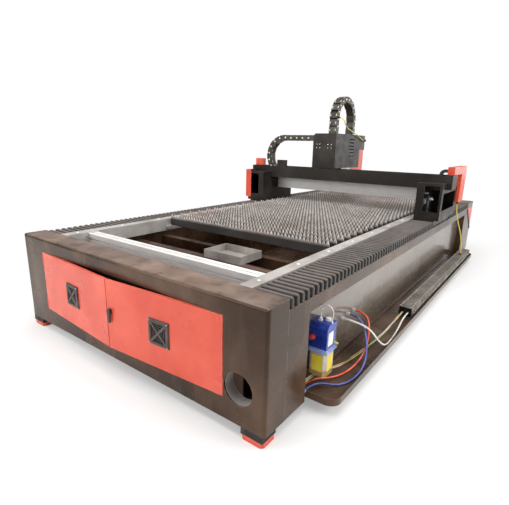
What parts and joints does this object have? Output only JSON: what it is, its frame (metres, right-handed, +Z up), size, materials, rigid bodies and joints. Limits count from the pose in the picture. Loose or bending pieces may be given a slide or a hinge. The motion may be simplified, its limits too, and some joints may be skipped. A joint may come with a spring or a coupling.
{
  "type": "fiber laser cutting machine",
  "caption": "Open-bed laser sheet cutter: welded bed with toothed slat table, bellows-covered ways, bridge gantry and crossing cutting head with drag chains",
  "frame": {"origin": "middle of the machine's footprint on the floor", "axes": "+X across the bed, to the right seen from the doors; +Y along the bed from the doors to the rear; +Z up from the floor"},
  "size_m": [2.438, 4.926, 1.9255],
  "materials": {
    "black_paint": "glossy dark brown-black enamel",
    "red_paint": "satin orange-red enamel",
    "grey_sheet": "worn grey enamel",
    "side_sheet": "glossy taupe enamel",
    "slat_steel": "heat stained mild steel",
    "strip_steel": "brushed steel",
    "guide_steel": "ground steel",
    "bar_aluminium": "natural anodised",
    "bellows_cloth": "coated bellows cloth",
    "chain_plastic": "moulded",
    "motor_casing": "matt black",
    "vent_plastic": "moulded",
    "latch_metal": "matt black",
    "pump_blue": "moulded",
    "tank_plastic": "translucent",
    "foot_rubber": "moulded",
    "red_tube": "polyurethane tube",
    "blue_tube": "polyurethane tube",
    "white_tube": "polyethylene tube",
    "wire_sheath": "sheathed wires",
    "fiber_sheath": "sheathed fiber",
    "fitting_plastic": "moulded",
    "head_metal": "anodised"
  },
  "bodies": {
    "bed": {"front_end_frame": "black_paint", "rear_end_frame": "black_paint", "foot_plates": "red_paint", "foot_blocks": "foot_rubber", "right_bed_side": "black_paint", "left_bed_side": "black_paint", "right_side_panel": "side_sheet", "left_side_panel": "side_sheet", "base_pan": "black_paint", "cross_members": "black_paint", "front_cross_bar": "bar_aluminium", "scrap_tray": "grey_sheet", "right_guard_strip": "strip_steel", "left_guard_strip": "strip_steel", "table_slats": "slat_steel", "way_guides": "guide_steel", "front_right_bellows": "bellows_cloth", "front_left_bellows": "bellows_cloth", "rear_right_bellows": "bellows_cloth", "rear_left_bellows": "bellows_cloth", "cable_tray": "black_paint", "side_drag_chain": "chain_plastic", "lubricator_head": "pump_blue", "lubricator_tank": "tank_plastic", "hose_fittings": "fitting_plastic", "red_hose": "red_tube", "blue_hose": "blue_tube", "white_hose": "white_tube", "wire_bundle": "wire_sheath", "pump_lead": "white_tube"},
    "right_door_leaf": {"right_door": "red_paint", "right_vent": "vent_plastic"},
    "left_door_leaf": {"left_door": "red_paint", "left_vent": "vent_plastic"},
    "latch": {"door_latch": "latch_metal"},
    "gantry": {"right_carriage": "black_paint", "left_carriage": "black_paint", "drive_motors": "motor_casing", "bridge_beam": "bar_aluminium", "chain_trough": "black_paint", "right_end_cover": "red_paint", "left_end_cover": "red_paint", "left_side_cover": "red_paint", "conduit_bow": "chain_plastic", "bridge_guides": "guide_steel", "gantry_fiber": "fiber_sheath", "cross_drag_chain": "chain_plastic"},
    "right_drive": {"right_pinion": "guide_steel"},
    "left_drive": {"left_pinion": "guide_steel"},
    "head": {"cross_slide": "head_metal", "head_motors": "motor_casing", "head_housing": "black_paint", "back_plate": "head_metal", "head_cover": "red_paint", "loop_drag_chain": "chain_plastic", "head_fiber": "fiber_sheath"},
    "cross_drive": {"cross_pinion": "guide_steel"},
    "screw": {"lift_screw": "guide_steel"},
    "cutter": {"lift_slide": "head_metal", "cutting_head": "head_metal"}
  },
  "joints": [
    {"name": "gantry_slide", "type": "slide", "parent": "bed", "child": "gantry", "axis": [0, 1, 0], "range_m": [-2.35, 0.7], "deforming": ["front_right_bellows", "front_left_bellows", "rear_right_bellows", "rear_left_bellows"]},
    {"name": "head_slide", "type": "slide", "parent": "gantry", "child": "head", "axis": [1, 0, 0], "range_m": [-0.53, 0.97], "deforming": ["cross_drag_chain"]},
    {"name": "cutter_lift", "type": "slide", "parent": "head", "child": "cutter", "axis": [0, 0, 1], "range_m": [-0.015, 0.085]},
    {"name": "screw_turn", "type": "hinge", "parent": "head", "child": "screw", "pos_m": [-0.2515, 1.05898, 1.079], "axis": [0, 0, 1], "range_deg": [-540, 3060]},
    {"name": "right_drive_turn", "type": "hinge", "parent": "gantry", "child": "right_drive", "pos_m": [0.9193, 0.46298, 0.63], "axis": [0, 0, 1], "range_deg": [-4808.75, 1432.39]},
    {"name": "left_drive_turn", "type": "hinge", "parent": "gantry", "child": "left_drive", "pos_m": [-0.9973, 0.46298, 0.63], "axis": [0, 0, 1], "range_deg": [-1432.39, 4808.75]},
    {"name": "cross_drive_turn", "type": "hinge", "parent": "head", "child": "cross_drive", "pos_m": [-0.2515, 0.96228, 0.997], "axis": [0, 0, 1], "range_deg": [-2315.7, 1265.28]},
    {"name": "right_door_hinge", "type": "hinge", "parent": "bed", "child": "right_door_leaf", "pos_m": [0.803, -2.38702, 0.3945], "axis": [0, 0, 1], "range_deg": [-4, 100]},
    {"name": "left_door_hinge", "type": "hinge", "parent": "bed", "child": "left_door_leaf", "pos_m": [-0.881, -2.38702, 0.3945], "axis": [0, 0, -1], "range_deg": [-4, 100]},
    {"name": "latch_turn", "type": "hinge", "parent": "right_door_leaf", "child": "latch", "pos_m": [-0.00889, -2.45282, 0.421], "axis": [0.0698, -0.9976, 0], "range_deg": [0, 90]}
  ],
  "couplings": [
    {"joint": "right_drive_turn", "follows": "gantry_slide", "rad_per_m": 35.714},
    {"joint": "left_drive_turn", "follows": "gantry_slide", "rad_per_m": -35.714},
    {"joint": "cross_drive_turn", "follows": "head_slide", "rad_per_m": -41.667},
    {"joint": "screw_turn", "follows": "cutter_lift", "rad_per_m": 628.32}
  ]
}
